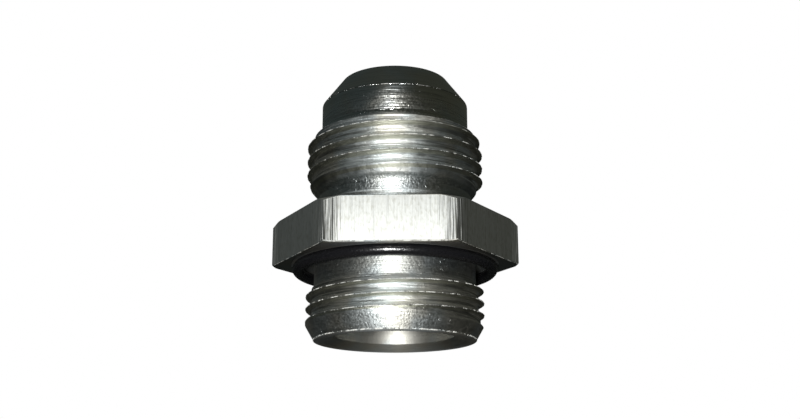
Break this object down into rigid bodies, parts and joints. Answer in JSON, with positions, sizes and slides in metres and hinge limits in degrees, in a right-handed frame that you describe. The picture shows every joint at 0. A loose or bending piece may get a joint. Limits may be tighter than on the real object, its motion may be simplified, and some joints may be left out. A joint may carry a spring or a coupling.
{
  "type": "hydraulic adapter",
  "caption": "Straight male to male hydraulic adapter: a hexagon between a flare nose with a coarse thread and a threaded port stud with a rubber sealing ring, bored through.",
  "frame": {"origin": "centre of the end face of the port stud, on which the adapter stands", "axes": "+Z along the bore towards the flare nose, two flats of the hexagon square to Y"},
  "size_m": [0.0368, 0.032, 0.04],
  "materials": {
    "plated_steel": "turned and bright plated, with a drawn grain on the flats",
    "black_rubber": "moulded, satin"
  },
  "bodies": {
    "root": {"fitting_body": "plated_steel", "sealing_ring": "black_rubber"}
  },
  "joints": []
}
